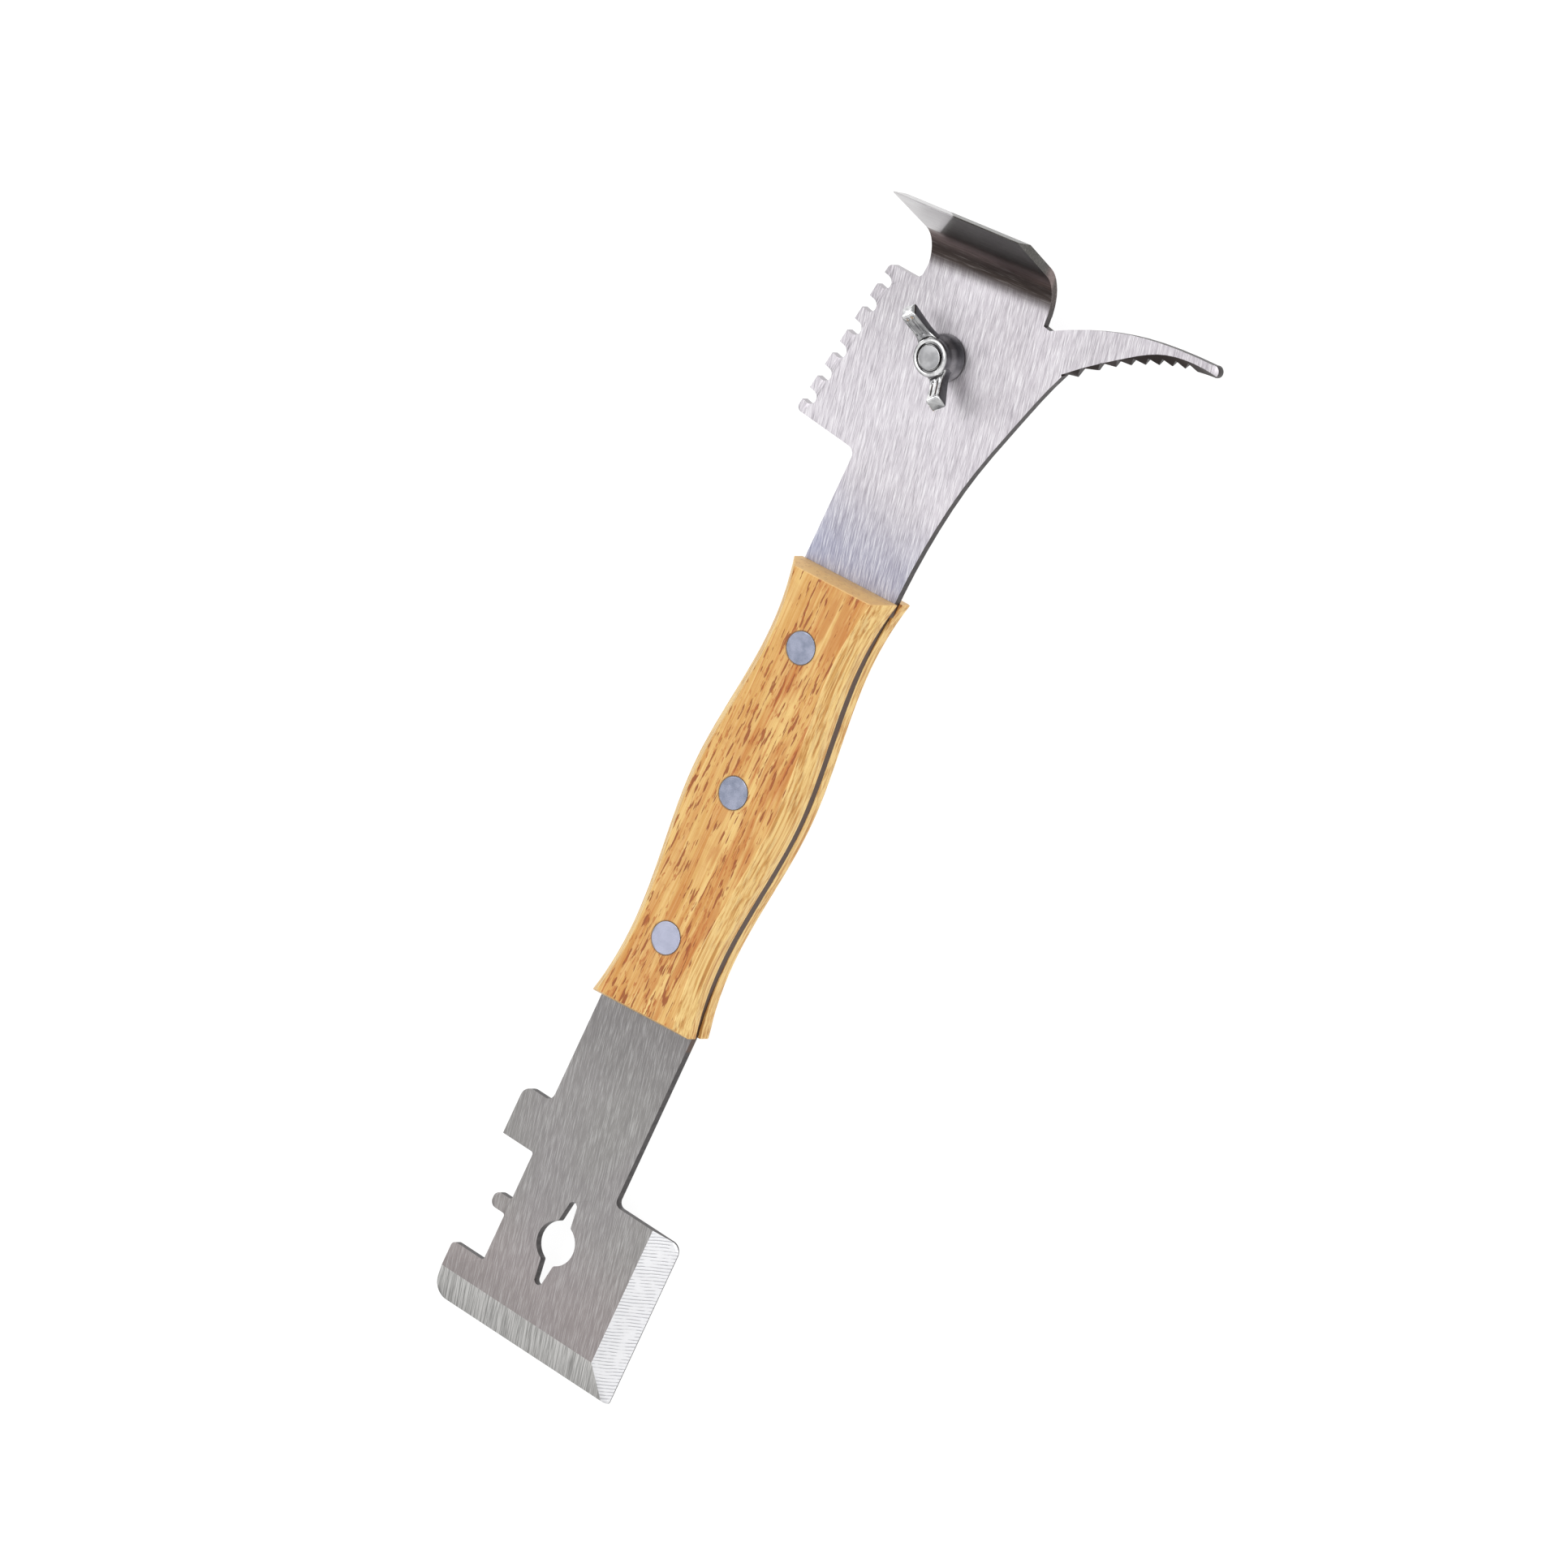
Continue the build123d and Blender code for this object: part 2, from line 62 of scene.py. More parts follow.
class Shader:
    """A procedural material, built node by node. x, y and z are the place on the piece, in metres."""

    def __init__(self, name, metallic=0.0):
        self.material = bpy.data.materials.new(name)
        self.material.use_nodes = True
        self.tree = self.material.node_tree
        self.surface = self.tree.nodes["Principled BSDF"]
        self.surface.inputs["Metallic"].default_value = metallic
        self.place = self.node("ShaderNodeTexCoord").outputs["Object"]
        self.x, self.y, self.z = self.axes(self.place)

    def node(self, kind, **settings):
        """Add a node and set its options."""
        made = self.tree.nodes.new(kind)
        for key, value in settings.items():
            setattr(made, key, value)
        return made

    def put(self, socket, value):
        """Link or set one input."""
        if isinstance(value, bpy.types.NodeSocket):
            self.tree.links.new(value, socket)
        else:
            socket.default_value = value

    def math(self, operation, first, second=0.0):
        made = self.node("ShaderNodeMath", operation=operation)
        self.put(made.inputs[0], first)
        self.put(made.inputs[1], second)
        return made.outputs[0]

    def plus(self, first, second):
        return self.math("ADD", first, second)

    def minus(self, first, second):
        return self.math("SUBTRACT", first, second)

    def times(self, first, second):
        return self.math("MULTIPLY", first, second)

    def invert(self, mask):
        return self.minus(1.0, mask)

    def above(self, value, limit):
        """1 where a value is above a limit, and 0 elsewhere."""
        return self.math("GREATER_THAN", value, limit)

    def below(self, value, limit):
        """1 where a value is below a limit, and 0 elsewhere."""
        return self.math("LESS_THAN", value, limit)

    def unsigned(self, value):
        """A value without its sign."""
        return self.math("ABSOLUTE", value)

    def distance_from(self, axis_x, axis_y):
        """Distance from an upright axis."""
        dx = self.minus(self.x, axis_x)
        dy = self.minus(self.y, axis_y)
        return self.math("SQRT", self.plus(self.times(dx, dx), self.times(dy, dy)))

    def axes(self, vector):
        """The three parts of a vector."""
        made = self.node("ShaderNodeSeparateXYZ")
        self.put(made.inputs[0], vector)
        return made.outputs

    def flat_normal(self):
        """The three parts of a face's own normal, before any smoothing."""
        return self.axes(self.node("ShaderNodeNewGeometry").outputs["True Normal"])

    def stretched(self, scale, turn=0.0, shift=(0, 0, 0), source=None):
        """Object coordinates turned about Z, then scaled along each axis."""
        turned = self.node("ShaderNodeMapping")
        self.put(turned.inputs["Vector"], source or self.place)
        turned.inputs["Rotation"].default_value = (0, 0, turn)
        made = self.node("ShaderNodeMapping")
        self.put(made.inputs["Vector"], turned.outputs[0])
        made.inputs["Scale"].default_value = scale
        made.inputs["Location"].default_value = shift
        return made.outputs[0]

    def noise(self, vector, detail=3.0, roughness=0.5):
        made = self.node("ShaderNodeTexNoise")
        self.put(made.inputs["Vector"], vector)
        made.inputs["Scale"].default_value = 1.0
        made.inputs["Detail"].default_value = detail
        made.inputs["Roughness"].default_value = roughness
        return made.outputs["Fac"]

    def ramp(self, value, start, full):
        """A smooth step from 0 at start to 1 at full. Full may be the smaller of the two."""
        made = self.node("ShaderNodeMapRange", clamp=True, interpolation_type="SMOOTHSTEP")
        self.put(made.inputs["Value"], value)
        self.put(made.inputs["From Min"], start)
        self.put(made.inputs["From Max"], full)
        return made.outputs["Result"]

    def mix(self, share, first, second):
        """From the first colour at share 0 to the second at share 1."""
        made = self.node("ShaderNodeMix", data_type="RGBA")
        self.put(made.inputs[0], share)
        self.put(made.inputs[6], first)
        self.put(made.inputs[7], second)
        return made.outputs[2]

    def toward(self, colour, mask, share, other):
        """A colour drawn towards another one by a share, where a mask is 1."""
        return self.mix(self.times(mask, share), colour, other)

    def bump(self, height, distance, strength):
        made = self.node("ShaderNodeBump")
        self.put(made.inputs["Height"], height)
        made.inputs["Distance"].default_value = distance
        made.inputs["Strength"].default_value = strength
        return made.outputs[0]

    def finish(self, colour, roughness, normal=None):
        """Join everything to the surface."""
        self.put(self.surface.inputs["Base Color"], colour)
        self.put(self.surface.inputs["Roughness"], roughness)
        if normal is not None:
            self.put(self.surface.inputs["Normal"], normal)
        return self.material


# ---------------------------------------------------------------- places in the frame

bolt_low, bolt_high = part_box("carriage_bolt")

SHEET_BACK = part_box("rear_scale")[1].z      # rear face of the steel
SHEET_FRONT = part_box("front_scale")[0].z    # front face of the steel
NUT_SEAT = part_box("wing_nut")[0].z
AXIS_X = (bolt_low.x + bolt_high.x) / 2     # the clamp's axis
AXIS_Y = (bolt_low.y + bolt_high.y) / 2
BOLT_CUT_Z = bolt_high.z - 0.0001           # only the bolt's own end lies above this
BEND_MID = Vector((0.1220, -0.0004, SHEET_FRONT))
BEND_SLANT = math.radians(9.1)
RIVET_PLACES = ("upper", "middle", "lower")


# ---------------------------------------------------------------- steel

BRUSH_TURN = math.radians(-13.5)            # brushing, from the tool's long axis
END_MARK_TURN = math.radians(-9)
SIDE_MARK_TURN = math.radians(24)
SIDE_MARK_STEP = 0.00072                    # from one grinding ripple to the next

# Zones of the sheet in metres, each from where it starts to where it is full.
HEAD_X = (0.0, 0.05)                        # the head; the rest is the square blade
STEP_X = (-0.078, -0.056)                   # darker towards the handle
END_X = (-0.095, -0.120)                    # warmer towards the ground end
NECK_X = (0.074, 0.052)                     # bluer on the neck
COMB_CORNER_X = (0.090, 0.108)
COMB_CORNER_Y = (0.002, 0.014)
OUTER_Y = (-0.018, -0.030)                  # the horn's side of the head

TANG_X = (-0.056, 0.052)                    # between these the edges run beside the handle
COMB_LOW_X = 0.078                          # the comb is past these two
COMB_LOW_Y = 0.012
HORN_LOW_X = 0.1                            # the horn is past these two
HORN_HIGH_Y = -0.0245
GROUND_HIGH_X = -0.09                       # both ground bevels are short of this

BEND_PAST = (-0.0012, 0.0030)               # along the tool, from the bend line
STRIP_SIDE = (0.0185, 0.0175)               # half width of the upturned scraper
PATCH_SIDE = (0.0154, 0.0160)               # edge of the pale patch of painted reflected light at the scraper's left
PATCH_LEAN = 0.0007                         # how far that edge moves per millimetre of height


def brushed_face(s):
    """Brushed sheet, streaked more strongly on the head. Returns its colour and its grain."""
    streaks = s.noise(s.stretched((280, 5200, 900), BRUSH_TURN), 3.0, 0.65)
    broad = s.noise(s.stretched((130, 2200, 300), BRUSH_TURN), 2.0, 0.5)
    cloud = s.noise(s.stretched((26, 34, 26)), 2.0)
    grain = s.plus(s.times(streaks, 0.7), s.times(broad, 0.3))

    head = s.ramp(s.x, *HEAD_X)
    blade = s.invert(head)
    comb_corner = s.times(s.ramp(s.x, *COMB_CORNER_X), s.ramp(s.y, *COMB_CORNER_Y))
    zones = (
        (s.times(s.ramp(s.x, *STEP_X), blade), 0.45, linear(112, 108, 110)),
        (s.times(s.ramp(s.x, *END_X), blade), 0.5, linear(160, 148, 148)),
        (s.times(s.ramp(s.x, *NECK_X), head), 0.9, linear(154, 157, 180)),
        (comb_corner, 0.40, linear(150, 146, 150)),
        (s.times(s.ramp(s.y, *OUTER_Y), head), 0.28, linear(150, 146, 150)),
        (s.ramp(cloud, 0.45, 0.75), 0.30, linear(150, 143, 148)),
    )
    colour = s.mix(head, linear(143, 141, 139), linear(195, 190, 196))
    for mask, share, tone in zones:
        colour = s.toward(colour, mask, share, tone)

    strength = s.plus(0.20, s.times(head, 0.22))
    colour = s.toward(colour, s.ramp(grain, 0.46, 0.66), strength, linear(255, 255, 255))
    colour = s.toward(colour, s.ramp(grain, 0.50, 0.34), strength, linear(96, 92, 98))
    return colour, grain


def side_ripples(s):
    """Grinding ripples on the ground side, broken up by a cloud."""
    down = s.plus(s.times(s.x, math.cos(SIDE_MARK_TURN)), s.times(s.y, math.sin(SIDE_MARK_TURN)))
    sway = s.noise(s.stretched((200, 200, 200)), 2.0)
    waves = s.plus(s.times(down, 2 * math.pi / SIDE_MARK_STEP), s.times(sway, 5.0))
    fade = s.noise(s.stretched((420, 420, 420), shift=(4, 4, 0)), 2.0)
    return s.times(s.ramp(s.math("SINE", waves), 0.1, 0.9), s.ramp(fade, 0.30, 0.60))


def ground_bevels(s, colour):
    """Ground end and side of the square blade. Returns the colour and where ripples show."""
    nx, ny, nz = s.flat_normal()
    tilted = s.times(s.ramp(nz, 0.90, 0.94), s.invert(s.ramp(nz, 0.990, 0.996)))
    ground = s.times(tilted, s.below(s.x, GROUND_HIGH_X))
    end_mask = s.times(ground, s.ramp(nx, -0.10, -0.16))
    side_mask = s.times(ground, s.ramp(ny, -0.10, -0.16))

    end_marks = s.noise(s.stretched((160, 5200, 300), END_MARK_TURN), 3.0, 0.6)
    end_colour = s.mix(s.ramp(end_marks, 0.34, 0.66), linear(146, 145, 143), linear(206, 205, 203))
    ripples = side_ripples(s)
    side_colour = s.toward(linear(228, 228, 230), ripples, 0.8, linear(170, 170, 174))
    colour = s.mix(end_mask, colour, end_colour)
    colour = s.mix(side_mask, colour, side_colour)
    return colour, s.times(side_mask, ripples)


def cut_edges(s, colour):
    """Cut edges, square to the sheet: painted shade on one side, painted light on the other and in the
    comb.
    """
    nx, ny, nz = s.flat_normal()
    mottle = s.noise(s.stretched((900, 900, 300)), 3.0)
    dark = s.mix(mottle, linear(46, 44, 45), linear(96, 92, 92))
    light = s.mix(mottle, linear(112, 112, 114), linear(172, 172, 175))
    # Painted shade: beside the handle the cut edges are painted dark brown, a painted shadow with a
    # painted reflection of the wood.
    beside_handle = s.times(s.below(s.x, TANG_X[1]), s.above(s.x, TANG_X[0]))
    dark = s.mix(beside_handle, dark, linear(92, 76, 68))
    # Painted shade and light by facing: edges facing -Y are painted dark, edges facing +Y painted light,
    # and edges facing +X painted dark.
    cut = s.mix(s.ramp(ny, -0.45, 0.15), dark, light)
    cut = s.mix(s.ramp(nx, 0.35, 0.75), cut, dark)
    # Painted light: the comb's cut edges are painted light grey.
    comb = s.times(s.above(s.x, COMB_LOW_X), s.above(s.y, COMB_LOW_Y))
    cut = s.mix(comb, cut, linear(186, 182, 186))
    upright = s.invert(s.ramp(s.unsigned(nz), 0.20, 0.40))
    on_sheet = s.below(s.z, SHEET_FRONT + 0.0002)
    return s.mix(s.times(upright, on_sheet), colour, cut)


def bend_painted_reflections(s, colour):
    """The bend and the upturned scraper, with painted reflections: dark and brownish bands up the bend
    and a pale patch of painted reflected light. Returns the colour and their mask.
    """
    cos_slant = math.cos(BEND_SLANT)
    sin_slant = math.sin(BEND_SLANT)
    along = s.plus(s.times(s.x, cos_slant), s.times(s.y, sin_slant))
    across = s.minus(s.times(s.y, cos_slant), s.times(s.x, sin_slant))
    past = s.minus(along, BEND_MID.x * cos_slant + BEND_MID.y * sin_slant)
    sideways = s.minus(across, BEND_MID.y * cos_slant - BEND_MID.x * sin_slant)
    bent = s.times(s.ramp(past, *BEND_PAST), s.ramp(s.unsigned(sideways), *STRIP_SIDE))

    rise = s.times(s.minus(s.z, SHEET_FRONT), 1 / MM)       # millimetres above the sheet
    # Painted reflections: the bend is painted dark, with a brownish band part way up and darker again
    # near the top.
    band = s.times(s.ramp(rise, 0.9, 2.4), s.invert(s.ramp(rise, 3.6, 6.4)))
    rolled = s.mix(band, linear(78, 69, 66), linear(122, 107, 104))
    rolled = s.mix(s.ramp(rise, 5.5, 7.5), rolled, linear(72, 70, 66))
    # Painted reflection: a pale patch of painted reflected light at the scraper's left, with a slanted
    # edge.
    edge = s.plus(sideways, s.times(rise, PATCH_LEAN))
    patch = s.times(s.ramp(edge, *PATCH_SIDE), s.ramp(rise, 4.6, 5.6))
    rolled = s.mix(patch, rolled, linear(196, 194, 195))

    lay = s.noise(s.stretched((3200, 150, 3200), -BEND_SLANT, (3, 5, 0)), 3.0, 0.65)
    rolled = s.toward(rolled, s.ramp(lay, 0.50, 0.72), 0.16, linear(226, 220, 216))
    rolled = s.toward(rolled, s.ramp(lay, 0.48, 0.30), 0.30, linear(34, 31, 30))
    return s.mix(bent, colour, rolled), bent


def horn_edge(s, colour):
    """The horn's dark ground edge, which slants between the face and the cut."""
    _, _, nz = s.flat_normal()
    horn = s.times(s.below(s.y, HORN_HIGH_Y), s.above(s.x, HORN_LOW_X))
    slanted = s.times(s.ramp(nz, 0.97, 0.85), s.above(nz, 0.15))
    return s.mix(s.times(horn, slanted), colour, linear(66, 60, 59))


def steel():
    """Brushed sheet, with ground edges, painted reflections on the bend and painted light and shade on
    the cut edges.
    """
    s = Shader("steel", metallic=1.0)
    colour, grain = brushed_face(s)
    colour, ripples = ground_bevels(s, colour)
    colour = cut_edges(s, colour)
    colour, bent = bend_painted_reflections(s, colour)
    colour = horn_edge(s, colour)
    roughness = s.plus(0.32, s.times(grain, 0.22))
    roughness = s.minus(roughness, s.times(bent, 0.12))
    relief = s.minus(s.times(grain, 0.7), s.times(ripples, 0.6))
    return s.finish(colour, roughness, s.bump(relief, 0.00004, 0.5))


# ---------------------------------------------------------------- wood

GRAIN_WANDER = 0.004                        # width that the grain wanders over, in metres
RUDDY_Y = (0.008, -0.004)                   # ruddier towards the horn's side
DENSE_Y = (0.009, -0.007)                   # more pores towards the horn's side
PORE_GATE = 0.775                           # noise above this opens a pore
PORE_CROWDING = 0.32                        # how much lower the gate is in a crowd of pores
PORE_LEAN = 0.03                            # and on the denser side


def wandering_grain(s):
    """Object coordinates in which the grain isn't quite straight."""
    wander = s.noise(s.stretched((14, 60, 60)), 2.0)
    joined = s.node("ShaderNodeCombineXYZ")
    s.put(joined.inputs[0], s.x)
    s.put(joined.inputs[1], s.plus(s.y, s.times(s.minus(wander, 0.5), GRAIN_WANDER)))
    s.put(joined.inputs[2], s.z)
    return joined.outputs[0]


def veins(s, grain, scale, shift, detail, roughness=0.5):
    """Noise that is drawn out along the grain."""
    return s.noise(s.stretched(scale, shift=shift, source=grain), detail, roughness)


def wood_bands(s, grain):
    """Pale, golden and ruddy bands with fine bright fibres. Returns the colour and the fibres."""
    bands = veins(s, grain, (9, 190, 150), (3, 0, 0), 3.0, 0.55)
    gold = veins(s, grain, (18, 380, 300), (9, 1, 0), 3.0, 0.6)
    fibre = veins(s, grain, (60, 3200, 3200), (0, 0, 0), 4.0, 0.7)
    patches = veins(s, grain, (70, 420, 420), (7, 7, 0), 2.0, 0.6)
    cross = s.noise(s.stretched((420, 90, 90)), 2.0)
    ruddy = s.times(s.ramp(patches, 0.46, 0.62), s.ramp(s.y, *RUDDY_Y))
    colour = s.mix(s.ramp(bands, 0.36, 0.62), linear(216, 178, 106), linear(200, 148, 74))
    colour = s.toward(colour, s.ramp(gold, 0.50, 0.64), 0.8, linear(188, 122, 46))
    colour = s.toward(colour, s.ramp(fibre, 0.40, 0.7), 0.30, linear(250, 220, 160))
    colour = s.toward(colour, ruddy, 0.65, linear(182, 110, 42))
    colour = s.toward(colour, s.ramp(cross, 0.5, 0.7), 0.14, linear(176, 108, 48))
    return colour, fibre


def wood_pores(s, grain, colour):
    """Short pores in crowds, specks and a few long pores. Returns the colour and the short pores."""
    crowd = veins(s, grain, (22, 170, 170), (1, 7, 0), 2.0)
    pores = veins(s, grain, (185, 1250, 1250), (5, 2, 0), 2.0)
    long_pores = veins(s, grain, (26, 1500, 1500), (2, 8, 0), 3.0, 0.55)
    specks = veins(s, grain, (420, 1900, 1900), (6, 3, 0), 2.0)
    gate = s.minus(PORE_GATE, s.times(crowd, PORE_CROWDING))
    gate = s.minus(gate, s.times(s.ramp(s.y, *DENSE_Y), PORE_LEAN))
    pore = s.ramp(s.minus(pores, gate), 0.0, 0.05)
    speck = s.ramp(s.minus(specks, gate), 0.02, 0.08)
    colour = s.toward(colour, pore, 0.9, linear(140, 66, 16))
    colour = s.toward(colour, s.ramp(long_pores, 0.58, 0.70), 0.65, linear(176, 88, 24))
    colour = s.toward(colour, speck, 0.7, linear(170, 92, 30))
    return colour, pore


def sanding_lines_and_highlights(s, grain, colour):
    """Fine sanding lines on the long bevels under a painted highlight, and a painted highlight on the
    ends that hides their pores.
    """
    nx, ny, _ = s.flat_normal()
    lines = veins(s, grain, (22, 1700, 1700), (4, 6, 0), 3.0, 0.65)
    lines_and_highlight = s.mix(s.ramp(lines, 0.38, 0.58), linear(198, 146, 72), linear(240, 210, 140))
    lines_and_highlight = s.toward(lines_and_highlight, s.ramp(lines, 0.42, 0.32), 0.5, linear(150, 94, 38))
    # Painted light: the bevels that face sideways are painted paler, and the ends paler still.
    colour = s.toward(colour, s.ramp(s.unsigned(ny), 0.30, 0.55), 0.72, lines_and_highlight)
    return s.toward(colour, s.ramp(s.unsigned(nx), 0.35, 0.7), 0.7, linear(248, 206, 142))


def rivet_gap_shade(s, colour):
    """Painted shade in the fine gap round each rivet."""
    for place in RIVET_PLACES:
        low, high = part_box(f"{place}_rivet_tube")
        away = s.distance_from((low.x + high.x) / 2, (low.y + high.y) / 2)
        rim = (high.x - low.x) / 2
        gap = s.ramp(away, rim + 0.45 * MM, rim + 0.05 * MM)
        colour = s.toward(colour, gap, 0.75, linear(88, 62, 44))
    return colour


def wood():
    """Oiled hardwood with open pores that run along the handle."""
    s = Shader("handle_wood")
    grain = wandering_grain(s)
    colour, fibre = wood_bands(s, grain)
    colour, pore = wood_pores(s, grain, colour)
    colour = sanding_lines_and_highlights(s, grain, colour)
    colour = rivet_gap_shade(s, colour)
    roughness = s.plus(0.40, s.times(fibre, 0.2))
    relief = s.minus(s.times(fibre, 0.15), pore)
    return s.finish(colour, roughness, s.bump(relief, 0.00010, 0.6))


# ---------------------------------------------------------------- rivets and zinc

LOWEST_RIVET_X = -0.02                      # only the lowest rivet is short of this
BOLT_END_RADIUS = (2.60 * MM, 2.50 * MM)    # where the bolt's cut end starts and is full
HOLLOW_REACH = 1.2 * MM                     # how near a wall gives a hollow its painted shade


def rivet_metal():
    """Satin aluminium with a few dents, with a painted reflection that makes the lowest rivet brighter.
    """
    s = Shader("rivet", metallic=1.0)
    cloud = s.noise(s.stretched((380, 380, 380)), 3.0)
    fine = s.noise(s.stretched((4200, 4200, 4200)), 2.0)
    colour = s.mix(s.ramp(cloud, 0.3, 0.7), linear(132, 138, 156), linear(160, 164, 182))
    # Painted light: the lowest rivet is painted brighter, a painted reflection.
    colour = s.toward(colour, s.below(s.x, LOWEST_RIVET_X), 0.6, linear(190, 192, 212))
    roughness = s.plus(0.32, s.times(cloud, 0.2))
    relief = s.plus(cloud, s.times(fine, 0.2))
    return s.finish(colour, roughness, s.bump(relief, 0.00005, 0.5))


def zinc():
    """Bright zinc plate on a cast surface, with painted shade on its upright faces and in the hollows,
    and dull on the bolt's cut end.
    """
    s = Shader("zinc", metallic=1.0)
    nx, _, nz = s.axes(s.node("ShaderNodeTexCoord").outputs["Normal"])
    cloud = s.noise(s.stretched((420, 420, 420)), 3.0)
    fine = s.noise(s.stretched((2600, 2600, 2600)), 3.0)
    colour = s.mix(s.ramp(cloud, 0.35, 0.7), linear(236, 236, 236), linear(176, 176, 178))

    # Painted shade: upright faces are painted dark, less so where they face -X.
    upright = s.ramp(s.unsigned(nz), 0.62, 0.22)
    side_shade = s.plus(0.30, s.times(s.ramp(nx, -0.45, 0.10), 0.60))
    colour = s.toward(colour, upright, side_shade, linear(46, 46, 50))
    # Painted shade: darker near walls, in the hollows and creases.
    corner = s.node("ShaderNodeAmbientOcclusion")
    corner.inputs["Distance"].default_value = HOLLOW_REACH
    hollow = s.ramp(corner.outputs["AO"], 0.85, 0.40)
    colour = s.toward(colour, hollow, 0.9, linear(34, 32, 32))

    level = s.times(s.ramp(nz, 0.97, 0.99), s.above(s.z, BOLT_CUT_Z))
    cut_end = s.times(level, s.ramp(s.distance_from(AXIS_X, AXIS_Y), *BOLT_END_RADIUS))
    dull = s.mix(s.ramp(cloud, 0.3, 0.7), linear(150, 150, 152), linear(182, 182, 184))
    colour = s.mix(cut_end, colour, dull)
    roughness = s.plus(0.10, s.times(cloud, 0.14))
    roughness = s.plus(roughness, s.times(cut_end, 0.35))
    relief = s.plus(cloud, s.times(fine, 0.15))
    return s.finish(colour, roughness, s.bump(relief, 0.00008, 0.4))


# ---------------------------------------------------------------- CAD nodes with finished edges

SHARP_EDGE = math.radians(28)               # sharper edges of a CAD node are rounded
METAL_EDGE = 0.12 * MM
WOOD_EDGE = 0.45 * MM


def soften(piece, width, segments=2):
    """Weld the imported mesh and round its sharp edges, without touching the mesh itself."""
    weld = piece.modifiers.new("weld", "WELD")
    weld.merge_threshold = CAD_WELD_GAP
    bevel = piece.modifiers.new("edges", "BEVEL")
    bevel.width = width
    bevel.segments = segments
    bevel.limit_method = "ANGLE"
    bevel.angle_limit = SHARP_EDGE
    bevel.use_clamp_overlap = True
    even = piece.modifiers.new("shading", "WEIGHTED_NORMAL")
    even.keep_sharp = False
    even.mode = "FACE_AREA"


def dress(piece, material):
    """Give a piece one material."""
    piece.data.materials.clear()
    piece.data.materials.append(material)
    return piece


steel_look = steel()
wood_look = wood()
rivet_look = rivet_metal()
zinc_look = zinc()

soften(dress(nodes["blade"], steel_look), METAL_EDGE)
for scale in ("front_scale", "rear_scale"):
    soften(dress(nodes[scale], wood_look), WOOD_EDGE, segments=3)
for place in RIVET_PLACES:
    for half in ("stud", "tube"):
        soften(dress(nodes[f"{place}_rivet_{half}"], rivet_look), METAL_EDGE)


# ---------------------------------------------------------------- the clamp's bolt and wing nut

# All sizes in this block are millimetres, and heights are those of the row frame.
BACK = SHEET_BACK / MM
FRONT = SHEET_FRONT / MM
BOLT_BOTTOM = bolt_low.z / MM
BOLT_TOP = bolt_high.z / MM
NUT_FOOT = NUT_SEAT / MM

TURN_STEPS = 64                             # points round a turned row
PITCH_STEPS = 12                            # rows in one pitch of a thread
CORNER_STEPS = 4                            # steps round one rounded corner
SMOOTH_ANGLE = math.radians(32)             # sharper edges stay crisp when shaded

PITCH = 1.0
BOLT_CREST = 2.98                           # radii
BOLT_ROOT = 2.62
THREAD_GAP = 0.09                           # between the bolt's thread and the nut's
THREAD_FLAT = 0.12                          # shares of half a pitch: flat root, then flank
THREAD_FLANK = 0.72

SHANK_IN_NECK = 0.4                         # how far the shank reaches into the neck
SHANK_PLAIN_END = 0.42                      # the bolt's thread stops this far below its cut end
TIP_ROWS = ((0, 0.34), (0.02, 0.10), (0.07, 0.02), (0.15, 0))   # inset, and depth below the cut end
HEAD_GAP = 0.06                             # between the bolt's head and the blade
HEAD_RADIUS = (bolt_high.x - bolt_low.x) / 2 / MM
HEAD_RIM = 0.6                              # height of the head's rolled rim
HEAD_RIM_ROWS = ((0, 0.28), (0.08, 0.08), (0.28, 0))            # inset, and depth below its top
DIMPLE_ROWS = ((0.10, 0.16), (0.16, 0.14), (0.20, 0.04))        # share of the radius, and depth
DOME_STEPS = 14
DOME_START = 14                             # degrees from the axis
NECK_HALF = 3.1
NECK_CORNER = 0.45
NECK_IN_HEAD = 0.3                          # how far the neck starts behind the blade
NECK_SUNK = 0.2                             # its top is this far below the blade's front
NECK_TOP_ROWS = ((0, 0.3), (0.1, 0.1), (0.32, 0))               # inset, and depth below its top

# Radius and rise of the nut's boss, from its foot to the mouth of its hole.
BOSS_FOOT = (
    (4.70, 0.0), (5.02, 0.06), (5.18, 0.24), (5.2, 0.5), (5.18, 0.9), (5.14, 1.4), (5.08, 1.9),
    (4.98, 2.4), (4.84, 2.9), (4.66, 3.4), (4.46, 3.9), (4.30, 4.4), (4.22, 4.9),
)
BOSS_COLLAR = (
    (4.24, 5.35), (4.22, 5.72), (4.06, 6.02), (3.78, 6.16), (3.50, 6.18), (3.30, 6.08), (3.20, 5.88),
)
HOLE_MOUTH = ((3.16, 0.22), (3.34, 0))      # the same, at the foot
TAPPED_FROM = 0.35                          # above the nut's foot
TAPPED_TO = 0.45                            # below the bolt's cut end

WING_TURN = math.radians(47.7)              # at rest, from the tool's long axis
WING_ROOT = (Vector((3.55, 4.75)), Vector((3.55, 2.3)))         # upper and lower: outwards, up
WING_TIP = (Vector((9.3, 9.98)), Vector((11.75, 8.12)))
WING_HALF = 1.75                            # half its thickness
WING_FLARE = 0.8                            # more at the root
WING_FLARE_END = 0.42                       # shares of the length, here and below
WING_FILLET = 0.35                          # more height at the root
WING_FILLET_END = 0.25
WING_EDGE = 0.40                            # radius of its long edges
WING_STATIONS = (0.0, 0.06, 0.12, 0.18, 0.24, 0.30, 0.4, 0.5, 0.6, 0.7, 0.8, 0.88, 0.94)
WING_END_ROWS = ((0.975, 0.05), (0.992, 0.16), (1.0, 0.36))     # share of the length, and inset
